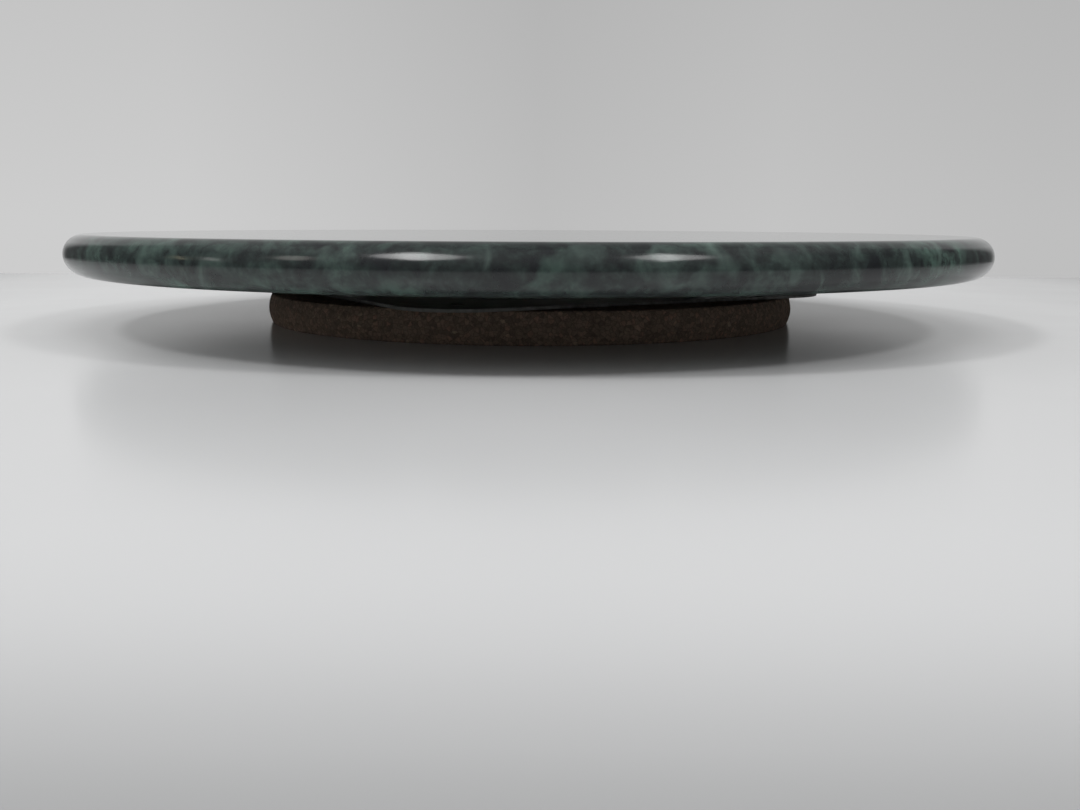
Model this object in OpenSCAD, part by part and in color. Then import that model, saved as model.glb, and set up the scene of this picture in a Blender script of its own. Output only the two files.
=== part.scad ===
// Lazy susan turntable: a round stone top on a flat square-plate ball bearing and a cork base.
// Millimetres, +Z up. The origin is on the table, under the centre of the cork base.

/* [Marble top] */
// Diameter of the marble disc
marble_d = 304.8; // [200:0.1:400]
// Thickness of the marble disc; its edge is a full half-round
marble_t = 12.2; // [10:0.1:20]

/* [Cork base] */
// Widest diameter of the cork disc, at the crown of its barrel-shaped edge
cork_d = 182.4; // [172:0.1:190]
// Thickness of the cork disc
cork_t = 9.6; // [6:0.1:16]
// How far the cork's edge bulges beyond its flat faces' rims
cork_bulge = 1.2; // [0.4:0.1:2]

/* [Swivel bearing] */
// Side of each square plate
plate_side = 152.4; // [145:0.1:160]
// Corner radius of each square plate
plate_corner_r = 20; // [12:1:24]
// Sheet thickness of both plates
plate_t = 1; // [0.8:0.1:1.2]
// Height of the bearing over both plates
bearing_h = 7.5; // [7.4:0.1:8.5]
// Turn of the lower plate about Z
lower_plate_turn = 31; // [0:1:89]
// Turn of the upper plate about Z at rest
upper_plate_turn = 70; // [0:1:89]
// Distance between the mounting holes along a side
hole_pitch = 118; // [112:1:120]
// Mounting hole diameter
hole_d = 4.8; // [4:0.1:5.5]

/* [Balls] */
// Ball diameter
ball_d = 4.76; // [4.5:0.01:4.8]
// Number of balls
ball_count = 24; // [12:1:32]
// Radius of the ball circle
race_r = 57; // [56:0.5:60]

/* [Adhesive] */
// Thickness of the adhesive films
film_t = 0.15; // [0.1:0.05:0.5]
// Diameter of each pad between the upper plate and the marble
pad_d = 24; // [12:1:28]

/* [Hidden] */
$fn = 96;

// Running clearances
groove_gap = 0.05;
pocket_gap = 0.06;

// Heights from the table
lower_z = cork_t + film_t;
upper_z = lower_z + bearing_h;
marble_z = upper_z + film_t;

// Bearing section, measured from the lower plate's underside
mid_z = bearing_h / 2;
ball_r = ball_d / 2;
groove_r = ball_r + groove_gap;
shoulder_w = 3.6;
shoulder_z = 2.65;
shoulder_rise = shoulder_z - plate_t;
fold = plate_t * tan(22.5);
flange_r = race_r + shoulder_w + shoulder_rise + 2;

// Rolled collar of the lower plate, which traps the upper plate's inner rim
collar_r = 49.9;
collar_out_r = collar_r + plate_t;
lip_r = 53.6;
lip_gap = 0.25;
rim_r = collar_out_r + 0.7;
rim_z = bearing_h - shoulder_z + plate_t;
lip_z = rim_z + lip_gap;

// Ball cage
cage_in_r = race_r - 3.7;
cage_out_r = race_r + 3.7;
cage_t = 1.8;

// Adhesive
film_inset = 4;
film_in_r = collar_out_r + 1;
film_out_r = cork_d / 2 - 6;
bead_d = 8.4;
bead_t = 0.8;

// Cork edge: an arc through the rims of both faces and the crown
cork_face_r = cork_d / 2 - cork_bulge;
cork_arc_r = (pow(cork_t / 2, 2) + pow(cork_bulge, 2)) / (2 * cork_bulge);

marble_green = "#2f4a41";
cork_brown = "#5a4030";
steel_grey = "#b4b8b6";
ball_grey = "#d4d6d8";
nylon_white = "#e4e0d2";
adhesive_amber = "#c9b98a";

function ball_name(i) = str("ball_", i < 10 ? "0" : "", i);

// A square with truly round corners
module rounded_square(side, corner_r) {
    inner = side - 2 * corner_r;
    square([inner, side], center = true);
    square([side, inner], center = true);
    for (x = [-1, 1], y = [-1, 1])
        translate([x, y] * inner / 2) circle(corner_r);
}

// Places a child at each of the four mounting holes
module at_holes() {
    for (x = [-1, 1], y = [-1, 1])
        translate([x, y] * hole_pitch / 2) children();
}

// The flat outer part of a stamping: a square sheet, open inside the pressed ring
module flange() {
    linear_extrude(plate_t) difference() {
        rounded_square(plate_side, plate_corner_r);
        circle(flange_r);
        at_holes() circle(d = hole_d);
    }
}

// Half section of the pressed ring: the sheet steps up from the flange and is grooved for the balls
module race_section(inner_points) {
    outer_step = race_r + shoulder_w;
    outer_foot = outer_step + shoulder_rise;
    difference() {
        union() {
            polygon(concat(
                [[flange_r, 0], [flange_r, plate_t], [outer_foot, plate_t], [outer_step, shoulder_z]],
                inner_points,
                [[outer_step - fold, shoulder_z - plate_t], [outer_foot - fold, 0]]
            ));
            intersection() {
                translate([race_r, mid_z]) circle(groove_r + plate_t);
                translate([race_r - shoulder_w, 0]) square([2 * shoulder_w, shoulder_z]);
            }
        }
        translate([race_r, mid_z]) circle(groove_r);
    }
}

// The lower ring runs on inwards, drops back to the flange's level and ends in the rolled collar
module lower_section() {
    inner_step = race_r - shoulder_w;
    inner_foot = inner_step - shoulder_rise;
    race_section([
        [inner_step, shoulder_z],
        [inner_foot, plate_t],
        [collar_r, plate_t],
        [collar_r, 0],
        [inner_foot + fold, 0],
        [inner_step + fold, shoulder_z - plate_t]
    ]);
    translate([collar_r, plate_t / 2]) square([plate_t, lip_z - plate_t / 2]);
    intersection() {
        translate([collar_out_r, lip_z]) circle(plate_t);
        translate([collar_r, lip_z]) square(plate_t);
    }
    translate([collar_out_r, lip_z]) square([lip_r - collar_out_r - plate_t / 2, plate_t]);
    translate([lip_r - plate_t / 2, lip_z + plate_t / 2]) circle(plate_t / 2);
}

// The upper ring ends in a plain rim that runs under the lower plate's lip
module upper_section() {
    race_section([[rim_r, shoulder_z], [rim_r, shoulder_z - plate_t]]);
}

module cork_base() {
    color(cork_brown) rotate_extrude() {
        square([cork_face_r, cork_t]);
        intersection() {
            translate([cork_d / 2 - cork_arc_r, cork_t / 2]) circle(cork_arc_r);
            square([cork_d, cork_t]);
        }
    }
}

module base_adhesive() {
    color(adhesive_amber) translate([0, 0, cork_t]) rotate(lower_plate_turn)
        linear_extrude(film_t) difference() {
            intersection() {
                rounded_square(plate_side - 2 * film_inset, plate_corner_r - film_inset);
                circle(film_out_r);
            }
            circle(film_in_r);
        }
}

module lower_plate() {
    color(steel_grey) translate([0, 0, lower_z]) rotate(lower_plate_turn) {
        flange();
        rotate_extrude() lower_section();
    }
}

module upper_plate() {
    color(steel_grey) translate([0, 0, upper_z]) rotate(upper_plate_turn) mirror([0, 0, 1]) {
        flange();
        rotate_extrude() upper_section();
    }
}

// Snap-in retainer: the pockets are hollow spheres, so the ring rides on the balls
module ball_cage() {
    color(nylon_white) translate([0, 0, lower_z + mid_z]) difference() {
        rotate_extrude() translate([cage_in_r, -cage_t / 2]) square([cage_out_r - cage_in_r, cage_t]);
        for (i = [1:ball_count]) at_ball(i) sphere(ball_r + pocket_gap);
    }
}

// Places a child at one ball's centre on the ball circle
module at_ball(i) {
    rotate(i * 360 / ball_count) translate([race_r, 0, 0]) children();
}

module ball(i) {
    color(ball_grey) translate([0, 0, lower_z + mid_z]) at_ball(i) sphere(ball_r);
}

// Pads of set adhesive, keyed through the upper plate's mounting holes
module top_adhesive() {
    color(adhesive_amber) translate([0, 0, upper_z]) rotate(upper_plate_turn) at_holes() {
        cylinder(h = film_t, d = pad_d);
        translate([0, 0, -plate_t]) cylinder(h = plate_t, d = hole_d);
        translate([0, 0, -plate_t - bead_t]) cylinder(h = bead_t, d = bead_d);
    }
}

module marble_top() {
    edge_r = marble_t / 2;
    color(marble_green) translate([0, 0, marble_z]) rotate_extrude() {
        square([marble_d / 2 - edge_r, marble_t]);
        translate([marble_d / 2 - edge_r, edge_r]) circle(edge_r);
    }
}

cork_base();
base_adhesive();
lower_plate();
ball_cage();
for (i = [1:ball_count]) ball(i);
upper_plate();
top_adhesive();
marble_top();
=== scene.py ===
import math

import bmesh
import bpy
from mathutils import Matrix, Vector, noise
from mathutils.geometry import delaunay_2d_cdt


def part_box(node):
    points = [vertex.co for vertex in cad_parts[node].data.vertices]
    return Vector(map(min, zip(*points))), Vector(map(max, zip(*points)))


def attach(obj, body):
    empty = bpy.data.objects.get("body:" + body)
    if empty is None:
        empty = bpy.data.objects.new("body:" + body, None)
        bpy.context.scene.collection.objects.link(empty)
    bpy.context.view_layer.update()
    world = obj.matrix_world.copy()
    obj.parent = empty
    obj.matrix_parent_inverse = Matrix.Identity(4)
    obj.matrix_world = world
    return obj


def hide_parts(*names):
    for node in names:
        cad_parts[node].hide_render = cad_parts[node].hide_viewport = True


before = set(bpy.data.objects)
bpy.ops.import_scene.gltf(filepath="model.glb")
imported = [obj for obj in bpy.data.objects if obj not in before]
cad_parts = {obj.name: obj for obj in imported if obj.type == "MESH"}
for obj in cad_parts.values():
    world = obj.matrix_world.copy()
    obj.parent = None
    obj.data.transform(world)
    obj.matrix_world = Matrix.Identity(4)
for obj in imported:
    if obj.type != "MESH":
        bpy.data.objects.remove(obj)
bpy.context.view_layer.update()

# Without a seed, noise_vector gives different values each time the script runs.
noise.seed_set(12)

# Meshes are worked out in millimetres and scaled to metres once, in new_mesh().
MM = 0.001


def box_mm(node):
    """Lowest and highest corner of a CAD node, in millimetres."""
    low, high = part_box(node)
    return low / MM, high / MM


# ---------------------------------------------------------------- sizes

marble_low, marble_high = box_mm("marble_top")
marble_radius = (marble_high.x - marble_low.x) / 2
marble_edge_radius = (marble_high.z - marble_low.z) / 2

cork_low, cork_high = box_mm("cork_base")
cork_radius = (cork_high.x - cork_low.x) / 2
cork_bulge = 1.2

film_low, film_high = box_mm("base_adhesive")
lower_z = box_mm("lower_plate")[0].z
upper_z = box_mm("upper_plate")[1].z
bearing_height = upper_z - lower_z

ball_nodes = [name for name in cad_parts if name.startswith("ball_") and name != "ball_cage"]
ball_low, ball_high = box_mm(ball_nodes[0])
ball_centre = (ball_low + ball_high) / 2
ball_radius = (ball_high.z - ball_low.z) / 2
race_radius = Vector((ball_centre.x, ball_centre.y)).length

# Stamped plates, as in the CAD model
sheet = 1.0
plate_half = 76.2
plate_corner = 20.0
lower_turn = math.radians(31)
upper_turn = math.radians(70)
hole_half_pitch = 59.0
hole_radius = 2.4
groove_gap = 0.05
shoulder_half = 3.6
shoulder_height = 2.65
flange_radius = race_radius + shoulder_half + (shoulder_height - sheet) + 2
# At a 45 degree bend, the sheet's middle line turns this far from where its faces turn.
fold = sheet / 2 * math.tan(math.radians(22.5))
collar_radius = 50.4
rim_radius = 51.6
lip_end_radius = 53.6
lip_height = 6.6

# Adhesive, as in the CAD model
pad_radius = 12.0
bead_radius = 4.2
bead_height = 0.8
film_inset = 4.0


# ---------------------------------------------------------------- mesh tools

def arc(centre_r, centre_z, radius, start, end, steps):
    """Points on a circular arc in the (r, z) plane; angles in degrees."""
    turns = [math.radians(start + (end - start) * i / steps) for i in range(steps + 1)]
    return [(centre_r + radius * math.cos(a), centre_z + radius * math.sin(a)) for a in turns]


def circle_points(radius, count):
    """Evenly spread (x, y) points on a circle."""
    return [
        (radius * math.cos(2 * math.pi * i / count), radius * math.sin(2 * math.pi * i / count))
        for i in range(count)
    ]


def spread_points(radius, spacing):
    """Points on a triangular grid inside a circle, slightly off their places so that no rows show."""
    most_shift = 0.22 * spacing
    noise_scale = 3.1
    points = []
    row_height = spacing * math.sqrt(3) / 2
    rows = int(radius / row_height)
    columns = int(radius / spacing) + 1
    for j in range(-rows, rows + 1):
        for i in range(-columns, columns + 1):
            x = (i + 0.5 * (j % 2)) * spacing
            y = j * row_height
            shift = noise.noise_vector((x * noise_scale, y * noise_scale, 0.5))
            x += most_shift * shift.x
            y += most_shift * shift.y
            if math.hypot(x, y) < radius:
                points.append((x, y))
    return points


def fill(loops, free_points, keep):
    """Triangles over a flat region. Loops are its borders, and keep(x, y) says what is inside it."""
    merge_distance = 1e-7
    points = [Vector(p) for loop in loops for p in loop] + [Vector(p) for p in free_points]
    edges = []
    start = 0
    for loop in loops:
        edges += [(start + i, start + (i + 1) % len(loop)) for i in range(len(loop))]
        start += len(loop)
    flat, _, faces, _, _, _ = delaunay_2d_cdt(points, edges, [], 1, merge_distance)
    assert len(flat) == len(points), "the outline's points have to be apart from each other"
    inside = []
    for face in faces:
        middle = sum((flat[i] for i in face), Vector((0, 0))) / len(face)
        if keep(middle.x, middle.y):
            inside.append(tuple(face))
    return inside


def strip(first, second, count):
    """Quads between two closed loops of the same number of vertices."""
    return [
        (first + i, first + (i + 1) % count, second + (i + 1) % count, second + i)
        for i in range(count)
    ]


def flipped(faces):
    """The same faces, looking the other way."""
    return [tuple(reversed(face)) for face in faces]


def turned_disc(profile, segments, low_points, high_points):
    """A solid disc. The profile, from its lower rim to its upper rim, is turned about Z."""
    vertices = []
    for r, z in profile:
        vertices += [(x, y, z) for x, y in circle_points(r, segments)]
    faces = []
    for row in range(len(profile) - 1):
        faces += strip(row * segments, (row + 1) * segments, segments)
    caps = ((0, low_points, False), (len(profile) - 1, high_points, True))
    for rim_row, points, is_top in caps:
        rim_r, rim_z = profile[rim_row]
        triangles = fill([circle_points(rim_r, segments)], points, lambda x, y: True)
        first_free = len(vertices)
        vertices += [(x, y, rim_z) for x, y in points]
        place = [rim_row * segments + i for i in range(segments)]
        place += [first_free + i for i in range(len(points))]
        triangles = [tuple(place[i] for i in face) for face in triangles]
        faces += triangles if is_top else flipped(triangles)
    return [Vector(v) for v in vertices], faces


def new_mesh(name, vertices, faces):
    """A smooth-shaded mesh in metres, from vertices in millimetres."""
    mesh = bpy.data.meshes.new(name)
    mesh.from_pydata([tuple(MM * c for c in v) for v in vertices], [], faces)
    mesh.validate()
    mesh.shade_smooth()
    return mesh


def vertex_normals(vertices, faces):
    """The outward direction at each vertex."""
    mesh = new_mesh("scratch", vertices, faces)
    normals = [n.vector.copy() for n in mesh.vertex_normals]
    bpy.data.meshes.remove(mesh)
    return normals


def sunk(vertices, faces, depth):
    """The vertices, each moved inwards along its normal by depth(vertex), in millimetres."""
    normals = vertex_normals(vertices, faces)
    return [v - n * depth(v) for v, n in zip(vertices, normals)]


def piece(name, vertices, faces, material, body, slot, *replaced):
    """Makes one visible piece, which rides on a body and stands for CAD nodes."""
    made = bpy.data.objects.new(name, new_mesh(name, vertices, faces))
    bpy.context.scene.collection.objects.link(made)
    made.data.materials.append(material)
    made.modifiers.new("even_shading", "WEIGHTED_NORMAL")
    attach(made, body)
    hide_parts(*replaced)
    return made


# ---------------------------------------------------------------- material tools

class Nodes:
    """Short calls that add nodes to a shader tree."""

    def __init__(self, tree):
        self.tree = tree

    def link(self, value, socket):
        """Gives a socket its value, which is a node's output or a constant."""
        if isinstance(value, bpy.types.NodeSocket):
            self.tree.links.new(value, socket)
        else:
            socket.default_value = value

    def add(self, kind, **settings):
        """A new node of a kind, with its settings."""
        made = self.tree.nodes.new(kind)
        for key, value in settings.items():
            setattr(made, key, value)
        return made

    def vector(self, operation, a, b=None, scale=None):
        made = self.add("ShaderNodeVectorMath", operation=operation)
        self.link(a, made.inputs[0])
        if b is not None:
            self.link(b, made.inputs[1])
        if scale is not None:
            self.link(scale, made.inputs["Scale"])
        return made.outputs["Vector"]

    def math(self, operation, a, b=0.0, c=0.0):
        made = self.add("ShaderNodeMath", operation=operation)
        for value, socket in zip((a, b, c), made.inputs):
            self.link(value, socket)
        return made.outputs[0]

    def noise(self, place, size, detail, rough=0.5, colour=False):
        """Fractal noise whose largest features are about size millimetres across."""
        made = self.add("ShaderNodeTexNoise")
        self.link(place, made.inputs["Vector"])
        self.link(1 / size, made.inputs["Scale"])
        self.link(detail, made.inputs["Detail"])
        self.link(rough, made.inputs["Roughness"])
        return made.outputs["Color" if colour else "Fac"]

    def cells(self, place, size, feature="F1", output="Distance"):
        """Cells about size millimetres across, like grains or granules."""
        made = self.add("ShaderNodeTexVoronoi", feature=feature)
        self.link(place, made.inputs["Vector"])
        self.link(1 / size, made.inputs["Scale"])
        return made.outputs[output]

    def warped(self, place, size, reach):
        """Coordinates pushed about by up to reach millimetres."""
        push = self.vector("SUBTRACT", self.noise(place, size, 2, colour=True), (0.5, 0.5, 0.5))
        return self.vector("ADD", place, self.vector("SCALE", push, scale=2 * reach))

    def ramp(self, value, *stops, smooth=False):
        """A colour or a grey for each value, from (value, colour) stops."""
        made = self.add("ShaderNodeValToRGB")
        self.link(value, made.inputs["Fac"])
        points = made.color_ramp.elements
        if smooth:
            made.color_ramp.interpolation = "B_SPLINE"
        while len(points) < len(stops):
            points.new(0.5)
        for point, (position, colour) in zip(points, stops):
            point.position = position
            point.color = (*colour, 1) if isinstance(colour, tuple) else (colour, colour, colour, 1)
        return made.outputs["Color"]

    def span(self, value, low, high, to_low=0.0, to_high=1.0):
        """Maps low to high onto to_low to to_high, and holds the ends' values beyond them."""
        made = self.add("ShaderNodeMapRange", clamp=True)
        for number, socket in zip((value, low, high, to_low, to_high), made.inputs):
            self.link(number, socket)
        return made.outputs["Result"]

    def mix(self, factor, a, b, blend="MIX"):
        made = self.add("ShaderNodeMix", data_type="RGBA", blend_type=blend)
        self.link(factor, made.inputs["Factor"])
        self.link(a if isinstance(a, bpy.types.NodeSocket) else (*a, 1), made.inputs["A"])
        self.link(b if isinstance(b, bpy.types.NodeSocket) else (*b, 1), made.inputs["B"])
        return made.outputs["Result"]

    def axis(self, place, name):
        """One coordinate of a place."""
        made = self.add("ShaderNodeSeparateXYZ")
        self.link(place, made.inputs["Vector"])
        return made.outputs[name]


class Shader(Nodes):
    """One Principled material."""

    def __init__(self, name, **constants):
        self.material = bpy.data.materials.new(name)
        self.material.use_nodes = True
        super().__init__(self.material.node_tree)
        self.surface = self.tree.nodes["Principled BSDF"]
        for socket, value in constants.items():
            self.surface.inputs[socket.replace("_", " ")].default_value = value
        place = self.add("ShaderNodeTexCoord").outputs["Object"]
        self.place = self.vector("SCALE", place, scale=1 / MM)

    def bump(self, relief, depth):
        """A normal from relief, a 0 to 1 height that stands for depth millimetres."""
        made = self.add("ShaderNodeBump")
        self.link(relief, made.inputs["Height"])
        self.link(depth * MM, made.inputs["Distance"])
        return made.outputs["Normal"]

    def finish(self, colour, rough, normal=None):
        """Joins the surface up and gives its material."""
        self.link(colour, self.surface.inputs["Base Color"])
        self.link(rough, self.surface.inputs["Roughness"])
        if normal is not None:
            self.link(normal, self.surface.inputs["Normal"])
        return self.material


# ---------------------------------------------------------------- materials

def green_marble():
    """Dark serpentine marble: soft grey-teal clouds, near-black blots, pale green patches and veins.

    Its edge is polished by hand, its top more finely by machine, and its underside is sawn.
    """
    s = Shader("green_marble", IOR=1.50)
    bent = s.warped(s.place, 18, 5)
    clouds = s.noise(bent, 14, 3, 0.5)
    mottle = s.noise(s.warped(bent, 5, 1.2), 3.8, 4, 0.55)
    grain = s.noise(s.place, 0.9, 2, 0.6)
    tone = s.math("MULTIPLY_ADD", clouds, 0.5, s.math("MULTIPLY", mottle, 0.5))
    tone = s.math("MULTIPLY_ADD", s.math("SUBTRACT", grain, 0.5), 0.06, tone)
    colour = s.ramp(
        tone,
        (0.37, (0.009, 0.011, 0.013)),
        (0.45, (0.014, 0.019, 0.019)),
        (0.51, (0.023, 0.033, 0.031)),
        (0.57, (0.037, 0.056, 0.050)),
        (0.67, (0.064, 0.100, 0.085)),
    )
    blot_place = s.warped(bent, 6, 1.8)
    chosen = s.span(s.axis(s.cells(blot_place, 12, output="Color"), "X"), 0.50, 0.54)
    blots = s.math("MULTIPLY", s.span(s.cells(blot_place, 12), 0.15, 0.36, 0.85, 0.0), chosen)
    colour = s.mix(blots, colour, (0.009, 0.010, 0.013))
    patches = s.math(
        "MULTIPLY",
        s.span(s.noise(s.place, 24, 2), 0.54, 0.66),
        s.span(s.noise(s.warped(s.place, 5, 1), 5, 3, 0.55), 0.42, 0.66, 0.0, 0.75),
    )
    colour = s.mix(patches, colour, (0.100, 0.172, 0.140))
    swirl = s.noise(s.warped(s.place, 12, 5), 17, 2, 0.5)
    wisp = s.span(s.math("ABSOLUTE", s.math("SUBTRACT", swirl, 0.5)), 0.0, 0.06, 1.0, 0.0)
    broken = s.span(s.noise(s.place, 9, 2), 0.46, 0.62, 0.0, 0.35)
    colour = s.mix(s.math("MULTIPLY", wisp, broken), colour, (0.12, 0.18, 0.155))
    vein_place = s.warped(s.warped(s.place, 30, 9), 4, 0.7)
    vein = s.span(s.cells(vein_place, 46, "DISTANCE_TO_EDGE"), 0.0, 0.020, 1.0, 0.0)
    shown = s.span(s.noise(s.place, 16, 3), 0.50, 0.66, 0.0, 0.35)
    colour = s.mix(s.math("MULTIPLY", vein, shown), colour, (0.15, 0.22, 0.19))
    scratch = s.noise(s.vector("MULTIPLY", s.place, (1.0, 7.0, 1.0)), 1.6, 3, 0.7)
    height = s.axis(s.place, "Z")
    wear = s.math("ADD", scratch, s.math("MULTIPLY", mottle, 0.4))
    hand_polished = s.span(wear, 0.4, 1.0, 0.10, 0.17)
    finer_on_top = s.span(height, marble_high.z - 1.2, marble_high.z - 0.1, 1.0, 0.4)
    sawn_below = s.span(height, marble_low.z + 0.35, marble_low.z + 0.02)
    rough = s.math("MULTIPLY", hand_polished, finer_on_top)
    rough = s.math("MAXIMUM", rough, s.math("MULTIPLY", sawn_below, 0.55))
    relief = s.math("ADD", s.math("MULTIPLY", mottle, 0.4), s.math("MULTIPLY", scratch, 0.05))
    return s.finish(colour, rough, s.bump(relief, 0.012))


def pressed_cork():
    """Fine cork granules in a darker binder."""
    s = Shader("pressed_cork", Specular_IOR_Level=0.25)
    granule_size = 1.35
    bent = s.warped(s.place, 1.6, 0.3)
    granule = s.ramp(
        s.axis(s.cells(bent, granule_size, output="Color"), "X"),
        (0.00, (0.210, 0.155, 0.118)),
        (0.35, (0.265, 0.198, 0.150)),
        (0.70, (0.320, 0.235, 0.178)),
        (0.88, (0.355, 0.248, 0.186)),
        (0.95, (0.385, 0.250, 0.188)),
        (1.00, (0.440, 0.350, 0.255)),
    )
    fleck = s.span(s.axis(s.cells(s.place, 0.6, output="Color"), "X"), 0.0, 1.0, 0.82, 1.15)
    granule = s.mix(1.0, granule, fleck, "MULTIPLY")
    seam = s.span(s.cells(bent, granule_size, "DISTANCE_TO_EDGE"), 0.02, 0.12, 1.0, 0.0)
    fibres = s.noise(s.place, 0.5, 3, 0.6)
    colour = s.mix(s.math("MULTIPLY", seam, 0.5), granule, (0.115, 0.086, 0.066))
    colour = s.mix(s.span(fibres, 0.3, 0.45, 0.35, 0.0), colour, (0.105, 0.080, 0.064))
    relief = s.math("SUBTRACT", s.math("MULTIPLY", fibres, 0.5), s.math("MULTIPLY", seam, 0.7))
    rough = s.span(fibres, 0.2, 0.8, 0.80, 0.95)
    return s.finish(colour, rough, s.bump(relief, 0.15))


def zinc_steel():
    """Zinc-coated pressed steel: faint spangle, dull spots, rolling marks and dull sheared edges."""
    s = Shader("zinc_steel")
    spangle = s.axis(s.cells(s.warped(s.place, 6, 1.5), 5, output="Color"), "X")
    spots = s.noise(s.place, 3, 5, 0.65)
    rolled = s.noise(s.vector("MULTIPLY", s.place, (0.06, 1.0, 1.0)), 0.5, 2, 0.5)
    dull, grey, bright = (0.28, 0.29, 0.285), (0.38, 0.395, 0.39), (0.44, 0.455, 0.45)
    colour = s.ramp(spots, (0.3, dull), (0.55, grey), (0.8, bright))
    colour = s.mix(0.18, colour, s.ramp(spangle, (0.0, 0.25), (1.0, 0.75)), "SOFT_LIGHT")
    rough = s.span(s.math("ADD", spots, s.math("MULTIPLY", rolled, 0.4)), 0.4, 1.1, 0.28, 0.48)
    cut = s.add("ShaderNodeAttribute", attribute_name="cut_edge").outputs["Fac"]
    bare_steel = s.ramp(spots, (0.35, (0.17, 0.165, 0.155)), (0.65, (0.29, 0.29, 0.28)))
    colour = s.mix(cut, colour, bare_steel)
    rough = s.math("MAXIMUM", rough, s.math("MULTIPLY", cut, 0.6))
    s.link(s.math("SUBTRACT", 1.0, s.math("MULTIPLY", cut, 0.8)), s.surface.inputs["Metallic"])
    return s.finish(colour, rough, s.bump(s.math("ADD", rolled, spots), 0.012))


def chrome_steel():
    """Ground bearing balls with a film of grease and faint rolling tracks."""
    s = Shader("chrome_steel", Metallic=1.0)
    smear = s.noise(s.place, 1.2, 3, 0.6)
    colour = s.ramp(smear, (0.35, (0.50, 0.50, 0.48)), (0.65, (0.66, 0.66, 0.65)))
    rough = s.span(smear, 0.3, 0.7, 0.06, 0.18)
    return s.finish(colour, rough, s.bump(smear, 0.002))


def cage_nylon():
    """Moulded nylon, slightly mottled and greasy."""
    s = Shader("cage_nylon", IOR=1.53, Subsurface_Weight=0.15, Subsurface_Scale=0.002)
    cloud = s.noise(s.place, 5, 4, 0.6)
    colour = s.ramp(cloud, (0.35, (0.62, 0.59, 0.49)), (0.65, (0.76, 0.74, 0.66)))
    rough = s.span(s.noise(s.place, 0.8, 3), 0.3, 0.7, 0.38, 0.55)
    return s.finish(colour, rough, s.bump(cloud, 0.02))


def amber_adhesive():
    """Set construction adhesive: dull amber with small bubbles."""
    s = Shader("amber_adhesive", IOR=1.5, Subsurface_Weight=0.1, Subsurface_Scale=0.003)
    cloud = s.noise(s.place, 3, 4, 0.6)
    bubbles = s.span(s.cells(s.place, 0.9), 0.05, 0.2, 1.0, 0.0)
    colour = s.ramp(cloud, (0.3, (0.36, 0.28, 0.14)), (0.7, (0.56, 0.47, 0.29)))
    colour = s.mix(s.math("MULTIPLY", bubbles, 0.4), colour, (0.25, 0.18, 0.09))
    rough = s.span(cloud, 0.3, 0.7, 0.35, 0.6)
    relief = s.math("SUBTRACT", cloud, s.math("MULTIPLY", bubbles, 0.5))
    return s.finish(colour, rough, s.bump(relief, 0.08))


def pale_table():
    """The satin tabletop of the set, with painted shade towards the front and far out to the sides.
    """
    s = Shader("pale_table", IOR=1.45)
    cloud = s.noise(s.place, 300, 2)
    colour = s.ramp(cloud, (0.3, (0.68, 0.684, 0.69)), (0.7, (0.71, 0.714, 0.72)))
    forward = s.math("MULTIPLY", s.axis(s.place, "Y"), -1 / marble_radius)
    aside = s.math("ABSOLUTE", s.math("MULTIPLY", s.axis(s.place, "X"), 1 / marble_radius))
    # Painted shade: the tabletop's colour gets darker towards the front.
    painted_shade = s.ramp(
        s.span(forward, 1.60, 4.10),
        (0.0, 1.0),
        (0.06, 0.99),
        (0.10, 0.96),
        (0.14, 0.88),
        (0.18, 0.67),
        (0.208, 0.53),
        (0.28, 0.50),
        (1.0, 0.31),
        smooth=True,
    )
    # Painted shade: the tabletop's colour gets darker far out to the sides.
    sides = s.ramp(s.span(aside, 0.0, 4.0), (0.34, 1.0), (0.40, 0.92), (0.475, 0.86), (0.70, 0.3))
    painted_shade = s.math("MULTIPLY", painted_shade, sides)
    colour = s.mix(1.0, colour, painted_shade, "MULTIPLY")
    rough = s.span(s.noise(s.place, 60, 2), 0.3, 0.7, 0.19, 0.21)
    return s.finish(colour, rough)


# ---------------------------------------------------------------- pieces

def marble_disc(material):
    """The stone disc, with a hand-finished half-round edge that isn't quite even."""
    segments = 768
    edge_steps = 28
    rings, ring_points = 12, 60
    long_wave, short_wave = 23, 8
    long_depth, short_depth = 0.05, 0.012
    middle_z = marble_low.z + marble_edge_radius
    flat_radius = marble_radius - marble_edge_radius
    profile = arc(flat_radius, middle_z, marble_edge_radius, -90, 90, edge_steps)
    inner = []
    for i in range(1, rings):
        inner += circle_points(flat_radius * i / rings, ring_points * i)
    vertices, faces = turned_disc(profile, segments, inner, inner)

    def unevenness(v):
        past_flat = math.hypot(v.x, v.y) - flat_radius
        on_edge = min(1.0, max(0.0, past_flat / (0.5 * marble_edge_radius)))
        slow = noise.noise(v / long_wave) * 0.5 + 0.5
        quick = noise.noise(v / short_wave + Vector((5, 3, 1))) * 0.5 + 0.5
        return on_edge * (long_depth * slow + short_depth * quick)

    vertices = sunk(vertices, faces, unevenness)
    return piece("marble_disc", vertices, faces, material, "turntable", "marble", "marble_top")


def cork_granules(v):
    """How far the cork is sunk at a point: uneven granules, the seams around them, and lost ones."""
    granule = 1.5
    seam_width, seam_depth = 0.22, 0.08
    lost_reach, lost_depth = 0.6, 0.3
    lost_from = 0.93
    level_change = 0.03
    distances, centres = noise.voronoi(v / granule)
    seam = max(0.0, 1 - (distances[1] - distances[0]) / seam_width)
    luck = noise.cell(centres[0] * 17.0)
    level = level_change * (noise.cell(centres[0] * 31.0) + 1)
    lost = lost_depth * max(0.0, 1 - distances[0] / lost_reach) if luck > lost_from else 0.0
    return level + seam_depth * seam * seam + lost


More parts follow.
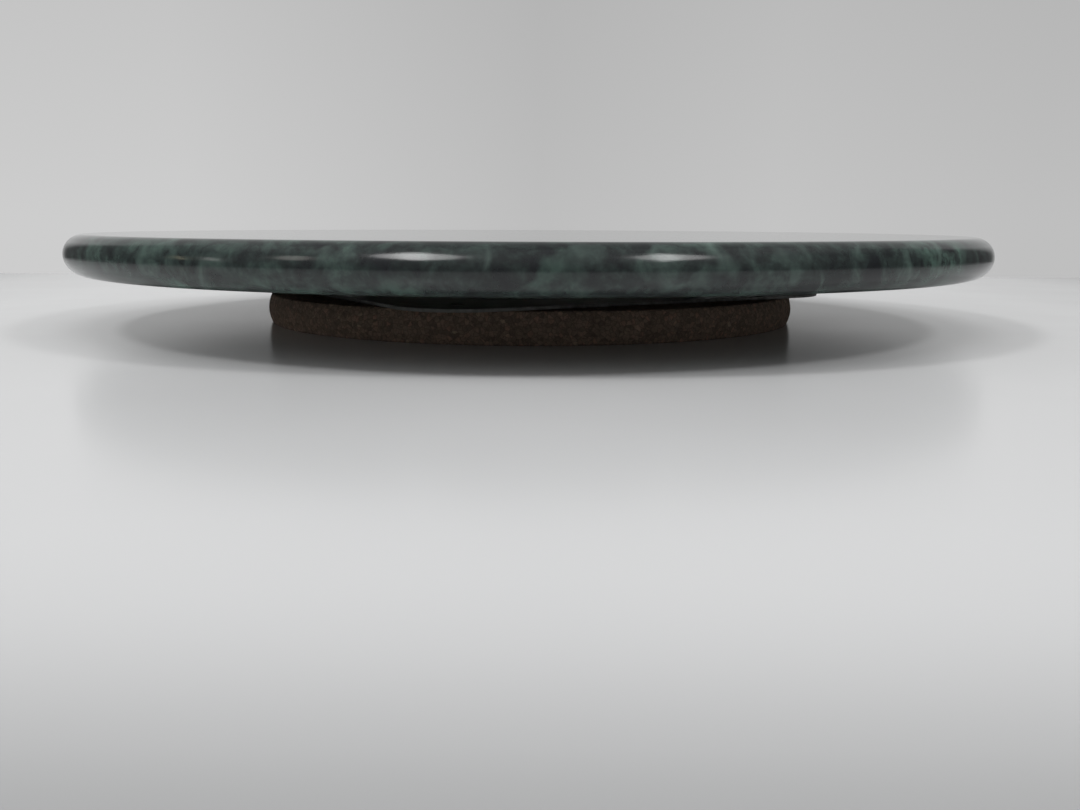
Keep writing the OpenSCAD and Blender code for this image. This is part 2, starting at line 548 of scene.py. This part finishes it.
def cork_disc(material):
    """The cork disc, with an edge that bulges like a barrel."""
    segments = 1400
    edge_steps = 22
    spacing = 1.25
    rim_margin = 1.0
    face_radius = cork_radius - cork_bulge
    half = (cork_high.z - cork_low.z) / 2
    arc_radius = (half ** 2 + cork_bulge ** 2) / (2 * cork_bulge)
    sweep = math.degrees(math.asin(half / arc_radius))
    profile = arc(cork_radius - arc_radius, cork_low.z + half, arc_radius, -sweep, sweep, edge_steps)
    grid = spread_points(face_radius - rim_margin, spacing)
    vertices, faces = turned_disc(profile, segments, grid, grid)
    vertices = sunk(vertices, faces, cork_granules)
    return piece("cork_disc", vertices, faces, material, "base", "cork", "cork_base")


def rounded(points, radii):
    """An open line whose corners are rounded with the given radii."""
    steps = 6
    nearly_straight = math.radians(89)
    line = [Vector(points[0])]
    for before, corner, after, radius in zip(points, points[1:], points[2:], radii):
        corner = Vector(corner)
        back = (Vector(before) - corner).normalized()
        ahead = (Vector(after) - corner).normalized()
        half = back.angle(ahead) / 2
        if radius == 0 or half > nearly_straight:
            line.append(corner)
            continue
        reach = radius / math.tan(half)
        centre = corner + (back + ahead).normalized() * (radius / math.sin(half))
        start = corner + back * reach - centre
        end = corner + ahead * reach - centre
        turn = start.angle_signed(end)
        for i in range(steps + 1):
            line.append(centre + Matrix.Rotation(-turn * i / steps, 2) @ start)
    line.append(Vector(points[-1]))
    return line


def race_line(inner_points, inner_radii):
    """Middle line of the pressed ring, from the flange inwards, above the plate's outer face."""
    groove_steps = 16
    half = sheet / 2
    middle = bearing_height / 2
    groove = ball_radius + groove_gap + half
    foot = race_radius + shoulder_half + shoulder_height - sheet - fold
    shoulder = shoulder_height - half
    mouth = math.sqrt(groove ** 2 - (middle - shoulder) ** 2)
    mouth_angle = math.degrees(math.asin((middle - shoulder) / groove))
    outer = [(flange_radius, half), (foot, half), (race_radius + shoulder_half - fold, shoulder)]
    outer.append((race_radius + mouth, shoulder))
    groove_arc = arc(race_radius, middle, groove, -mouth_angle, mouth_angle - 180, groove_steps)
    groove_bottom = groove_arc[1:-1]
    points = outer + groove_bottom + [(race_radius - mouth, shoulder)] + inner_points
    foot_radius, shoulder_radius, mouth_radius = 1.2, 1.0, 0.35
    radii = [foot_radius, shoulder_radius, mouth_radius] + [0] * len(groove_bottom) + [mouth_radius]
    radii += inner_radii
    return rounded(points, radii)


def thick_line(line):
    """Both sides of a sheet around its middle line: out along one side, round its end, back."""
    half = sheet / 2
    near, far = [], []
    for i, point in enumerate(line):
        ahead = line[min(i + 1, len(line) - 1)] - line[max(i - 1, 0)]
        side = Vector((ahead.y, -ahead.x)).normalized() * half
        near.append(point + side)
        far.append(point - side)
    tip = line[-1]
    start = near[-1] - tip
    turns = [math.radians(a) for a in (30, 60, 90, 120, 150)]
    cap = [tip + Matrix.Rotation(a, 2) @ start for a in turns]
    if (cap[2] - line[-2]).length < (tip - line[-2]).length:
        cap = [tip + Matrix.Rotation(-a, 2) @ start for a in turns]
    return near + cap + far[::-1]


def square_outline(inset):
    """The plate's rounded square, moved inwards by inset."""
    corner_steps, side_steps = 18, 12
    radius = plate_corner - inset
    straight = plate_half - plate_corner
    outline = []
    for quarter in range(4):
        turn = Matrix.Rotation(math.radians(90 * quarter), 2)
        for step in range(corner_steps + 1):
            a = math.radians(90 * step / corner_steps)
            corner = Vector((straight + radius * math.cos(a), straight + radius * math.sin(a)))
            outline.append(turn @ corner)
        for step in range(1, side_steps):
            x = straight - 2 * straight * step / side_steps
            outline.append(turn @ Vector((x, straight + radius)))
    return [tuple(p) for p in outline]


def stamping(name, inner_points, inner_radii, turn, flip, material, body, node):
    """A square stamped plate: sheared outer edge, four holes and the pressed ball ring.

    It is made with its outer face at height 0, and flip turns it over for the upper plate.
    """
    segments = 288
    hole_segments = 40
    bare_inset = 0.1
    # Insets and heights of the sheared edge, from its larger rounding to its smaller one
    sheared = [(0.22, sheet), (0.08, sheet - 0.06), (0.02, sheet - 0.18), (0.0, sheet - 0.34)]
    sheared += [(0.0, 0.12), (0.05, 0.02), (0.12, 0.0)]
    sides = (-hole_half_pitch, hole_half_pitch)
    hole_middles = [(x, y) for x in sides for y in sides]

    def hole_outline(centre, inset):
        rim = circle_points(hole_radius + inset, hole_segments)
        return [(centre[0] + x, centre[1] + y) for x, y in rim]

    vertices, faces, bare = [], [], []

    def add_row(outline, z, cut=0.0):
        vertices.extend((x, y, z) for x, y in outline)
        bare.extend([cut] * len(outline))
        return len(vertices) - len(outline)

    ring = circle_points(flange_radius, segments)
    top_loops, low_loops = [], []
    borders = [square_outline] + [lambda inset, c=c: hole_outline(c, inset) for c in hole_middles]
    for border in borders:
        rows = [add_row(border(inset), z, float(inset < bare_inset)) for inset, z in sheared]
        count = len(border(0))
        for first, second in zip(rows, rows[1:]):
            faces += strip(first, second, count)
        top_loops.append((rows[0], border(sheared[0][0])))
        low_loops.append((rows[-1], border(sheared[-1][0])))

    section = thick_line(race_line(inner_points, inner_radii))
    rows = [add_row(circle_points(p.x, segments), p.y) for p in section]
    for first, second in zip(rows, rows[1:]):
        faces += strip(first, second, segments)
    side_rows = (rows[0], rows[-1]) if section[0].y > section[-1].y else (rows[-1], rows[0])
    top_loops.append((side_rows[0], ring))
    low_loops.append((side_rows[1], ring))

    def on_flange(x, y):
        in_hole = any(math.hypot(x - cx, y - cy) < hole_radius for cx, cy in hole_middles)
        return math.hypot(x, y) > flange_radius and not in_hole

    for loops, is_top in ((top_loops, True), (low_loops, False)):
        place = [first + i for first, outline in loops for i in range(len(outline))]
        triangles = fill([outline for _, outline in loops], [], on_flange)
        triangles = [tuple(place[i] for i in face) for face in triangles]
        faces += triangles if is_top else flipped(triangles)

    spin = Matrix.Rotation(turn, 3, "Z")
    back_z, way = (upper_z, -1) if flip else (lower_z, 1)
    vertices = [spin @ Vector((x, y, 0)) + Vector((0, 0, back_z + way * z)) for x, y, z in vertices]
    made = piece(name, vertices, faces, material, body, "plate_steel", node)
    even_faces(made)
    cut_edge = made.data.attributes.new("cut_edge", "FLOAT", "POINT")
    cut_edge.data.foreach_set("value", bare)
    return made


def even_faces(made):
    """Turns every face outwards."""
    work = bmesh.new()
    work.from_mesh(made.data)
    bmesh.ops.recalc_face_normals(work, faces=work.faces)
    work.to_mesh(made.data)
    work.free()


def lower_stamping(material):
    """The plate on the cork, whose rolled collar and lip hold the upper plate's inner rim."""
    half = sheet / 2
    inner_foot = race_radius - shoulder_half - (shoulder_height - sheet) + fold
    points = [
        (race_radius - shoulder_half + fold, shoulder_height - half),
        (inner_foot, half),
        (collar_radius, half),
        (collar_radius, lip_height),
        (lip_end_radius - half, lip_height),
    ]
    radii = [1.0, 1.0, 0.7, 0.7]
    body, node = "base", "lower_plate"
    return stamping("lower_stamping", points, radii, lower_turn, False, material, body, node)


def upper_stamping(material):
    """The plate under the stone, whose plain inner rim runs under the lower plate's lip."""
    half = sheet / 2
    points = [(rim_radius + half, shoulder_height - half)]
    body, node = "turntable", "upper_plate"
    return stamping("upper_stamping", points, [], upper_turn, True, material, body, node)


def adhesive_pads(material):
    """Four squeezed-out pads, each keyed through a hole of the upper plate into a small head."""
    segments = 96
    plug_gap = 0.02
    head_rounding = 0.4
    head_flat, head_inner = 0.35 * bead_radius, 0.9
    edge_inset, edge_rounding = 0.075, 0.072
    grid_radius, grid_spacing = 10.5, 2.4
    drawn_in, drawn_in_change = 0.10, 0.12
    lobes, pad_seed = 2.2, 9.7
    pad_top = marble_low.z
    plate_low = upper_z - sheet
    hole = hole_radius - plug_gap
    vertices, faces = [], []
    for quarter in range(4):
        turn = upper_turn + math.radians(45 + 90 * quarter)
        centre = Vector((math.cos(turn), math.sin(turn), 0)) * hole_half_pitch * math.sqrt(2)
        profile = [(head_flat, plate_low - bead_height)]
        head_turn = (bead_radius - head_rounding, plate_low - head_rounding)
        profile += arc(*head_turn, head_rounding, -90, 70, 8)
        profile += [(hole, plate_low), (hole, upper_z)]
        profile += arc(pad_radius - edge_inset, (upper_z + pad_top) / 2, edge_rounding, -80, 80, 6)
        grid = spread_points(grid_radius, grid_spacing)
        made, made_faces = turned_disc(profile, segments, circle_points(head_inner, 8), grid)
        start = len(vertices)
        for v in made:
            radius = math.hypot(v.x, v.y)
            angle = math.atan2(v.y, v.x)
            around = Vector((lobes * math.cos(angle), lobes * math.sin(angle), pad_seed * quarter))
            amount = drawn_in + drawn_in_change * noise.noise(around)
            shrink = 1 - amount * min(1.0, max(0.0, (radius - hole) / hole))
            vertices.append(centre + Vector((v.x * shrink, v.y * shrink, v.z)))
        faces += [tuple(start + i for i in face) for face in made_faces]
    return piece("adhesive_pads", vertices, faces, material, "turntable", "adhesive", "top_adhesive")


def adhesive_film(material):
    """The spread film between the lower plate and the cork, with a wandering edge."""
    segments = 480
    lap = 6
    lobes = 6
    collar_margin, rim_margin = 1.6, 6
    outer_set_back, outer_wander = 0.8, 0.7
    inner_set_back, inner_wander = 0.6, 0.5
    middle = (film_low.z + film_high.z) / 2
    half = (film_high.z - film_low.z) / 2
    inner_radius = collar_radius + collar_margin
    outer_limit = cork_radius - rim_margin
    side = plate_half - film_inset
    corner = plate_corner - film_inset
    vertices = []
    for i in range(segments):
        angle = 2 * math.pi * i / segments
        wander = noise.noise(Vector((lobes * math.cos(angle), lobes * math.sin(angle), 2.0)))
        reach = min(outer_limit, square_reach(angle, side, corner))
        outer = reach - outer_set_back + outer_wander * wander
        inner = inner_radius + inner_set_back - inner_wander * wander
        section = arc(outer - half, middle, half, -90, 90, lap)
        section += arc(inner + half, middle, half, 90, 270, lap)
        facing = angle + lower_turn
        vertices += [Vector((r * math.cos(facing), r * math.sin(facing), z)) for r, z in section]
    ring = 2 * (lap + 1)
    faces = []
    for i in range(segments):
        here, there = i * ring, (i + 1) % segments * ring
        for j in range(ring):
            after = (j + 1) % ring
            faces.append((here + j, there + j, there + after, here + after))
    return piece("adhesive_film", vertices, faces, material, "base", "adhesive", "base_adhesive")


def square_reach(angle, side, corner):
    """Distance from the centre to a rounded square's outline in one direction."""
    x, y = abs(math.cos(angle)), abs(math.sin(angle))
    reach = side / max(x, y)
    core = side - corner
    if min(x, y) * reach <= core:
        return reach
    along = core * (x + y)
    return along + math.sqrt(along ** 2 - 2 * core ** 2 + corner ** 2)


marble = green_marble()
cork = pressed_cork()
zinc = zinc_steel()
steel = chrome_steel()
nylon = cage_nylon()
glue = amber_adhesive()

marble_disc(marble)
cork_disc(cork)
lower_stamping(zinc)
upper_stamping(zinc)
adhesive_pads(glue)
adhesive_film(glue)


def refinish(node, material):
    """Gives a CAD node that stays as it is its finished material."""
    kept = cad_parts[node]
    kept.data.materials.clear()
    kept.data.materials.append(material)


for name in ball_nodes:
    refinish(name, steel)
refinish("ball_cage", nylon)


# ---------------------------------------------------------------- set, lights and camera

def table():
    """The tabletop, which ends behind the turntable as a table in front of a pale wall does."""
    far_edge = marble_radius * 1.9
    near, side = -3000.0, 3000.0
    corners = [(-side, near, 0), (side, near, 0), (side, far_edge, 0), (-side, far_edge, 0)]
    top = bpy.data.objects.new("tabletop", new_mesh("tabletop", corners, [(0, 1, 2, 3)]))
    bpy.context.scene.collection.objects.link(top)
    top.data.materials.append(pale_table())


def soft_light(
    name, azimuth, elevation, width, height, radiance,
    colour=(1, 1, 1), tilt=0, shines=True, mirrored=True,
):
    """An oval light that faces the turntable, with its place, size and tilt in degrees.

    Azimuth 0 is straight in front. A light that doesn't shine shows only in reflections, and one that
    isn't mirrored never shows in them.
    """
    distance = 3.0
    a, e = math.radians(azimuth), math.radians(elevation)
    towards = Vector((math.sin(a) * math.cos(e), -math.cos(a) * math.cos(e), math.sin(e)))
    data = bpy.data.lights.new(name, "AREA")
    data.shape = "ELLIPSE"
    data.size = 2 * distance * math.tan(math.radians(width / 2))
    data.size_y = 2 * distance * math.tan(math.radians(height / 2))
    data.energy = radiance * math.pi * data.size * data.size_y * math.pi / 4
    data.color = colour
    light = bpy.data.objects.new(name, data)
    light.location = towards * distance
    facing = towards.to_track_quat("Z", "Y").to_matrix() @ Matrix.Rotation(math.radians(tilt), 3, "Z")
    light.rotation_euler = facing.to_euler()
    light.visible_diffuse = shines
    light.visible_glossy = mirrored
    bpy.context.scene.collection.objects.link(light)


def surroundings():
    """A dim room with a pale ceiling, and a lit wall behind the turntable."""
    world = bpy.data.worlds.new("room")
    world.use_nodes = True
    w = Nodes(world.node_tree)
    direction = w.add("ShaderNodeTexCoord").outputs["Generated"]
    x, y, z = (w.axis(direction, name) for name in "XYZ")
    room = w.ramp(z, (0.0, 0.21), (0.34, 0.30), (0.57, 0.42), (0.77, 0.47), (1.0, 0.48))
    level = w.math("SQRT", w.math("SUBTRACT", 1.0, w.math("MULTIPLY", z, z)))
    behind = w.math("DIVIDE", y, w.math("MAXIMUM", level, 0.01))
    wall = w.ramp(w.span(x, -0.5, 0.5), (0.18, 0.61), (0.50, 0.51), (0.72, 0.55), (0.92, 0.52))
    higher = w.ramp(z, (0.0, 1.0), (0.20, 0.90), (0.5, 0.68), (0.8, 0.62))
    wall = w.mix(1.0, wall, higher, "MULTIPLY")
    dim_sides = w.math("MAXIMUM", w.span(behind, -0.6, 0.1, 1.0, 0.35), w.span(z, 0.45, 0.80))
    room = w.mix(1.0, room, dim_sides, "MULTIPLY")
    wall_reach = w.math("ADD", behind, w.span(z, 0.05, 0.45, 0.0, 0.25))
    shade = w.mix(w.span(wall_reach, 0.80, 0.88), room, wall)
    background = w.tree.nodes["Background"]
    w.link(shade, background.inputs["Color"])
    bpy.context.scene.world = world


def camera():
    """Close to the table and nearly edge-on to the disc."""
    focal = 34.67
    pitch = math.radians(10.03)
    roll = math.radians(0.25)
    place = Vector((3.61, -375.4, 34.0)) * MM
    data = bpy.data.cameras.new("camera")
    data.sensor_width = 36
    data.lens = focal
    data.clip_start = 0.01
    made = bpy.data.objects.new("camera", data)
    bpy.context.scene.collection.objects.link(made)
    tilt = Matrix.Rotation(math.pi / 2 - pitch, 4, "X") @ Matrix.Rotation(roll, 4, "Z")
    made.matrix_world = Matrix.Translation(place) @ tilt
    bpy.context.scene.camera = made


table()
surroundings()
# Name, azimuth, elevation, width, height and radiance. The first five light the set, and the others
# show only as bright streaks along the stone's rim.
soft_light("left_ceiling", -73, 54, 12, 12, 26, mirrored=False)
soft_light("right_ceiling", 73, 50.5, 12, 12, 22, mirrored=False)
soft_light("overhead", 0, 84, 44, 44, 1.4, mirrored=False)
soft_light("left_wash", -88, 20, 50, 30, 1.6, mirrored=False)
soft_light("right_wash", 88, 22, 50, 30, 0.5, mirrored=False)
soft_light("left_lamp", -34, 51, 6.5, 38, 5.6, tilt=22, shines=False)
soft_light("left_lamp_glow", -32, 49.5, 16, 27, 4.8, tilt=26, shines=False)
soft_light("right_lamp", 40, 49, 4, 38, 6.0, tilt=-22, shines=False)
soft_light("right_lamp_glow", 41, 48.5, 14, 24, 3.8, tilt=-25, shines=False)
soft_light("left_low", -58, 32, 7, 17, 2.1, (1.0, 0.96, 0.90), tilt=24, shines=False)
soft_light("left_side", -75, 18, 2.5, 12, 2.6, (1.0, 0.94, 0.92), tilt=30, shines=False)
soft_light("left_spot", -84.5, 17, 1.6, 11, 2.6, (1.0, 0.96, 0.66), tilt=34, shines=False)
camera()
bpy.context.scene.view_settings.view_transform = "Standard"
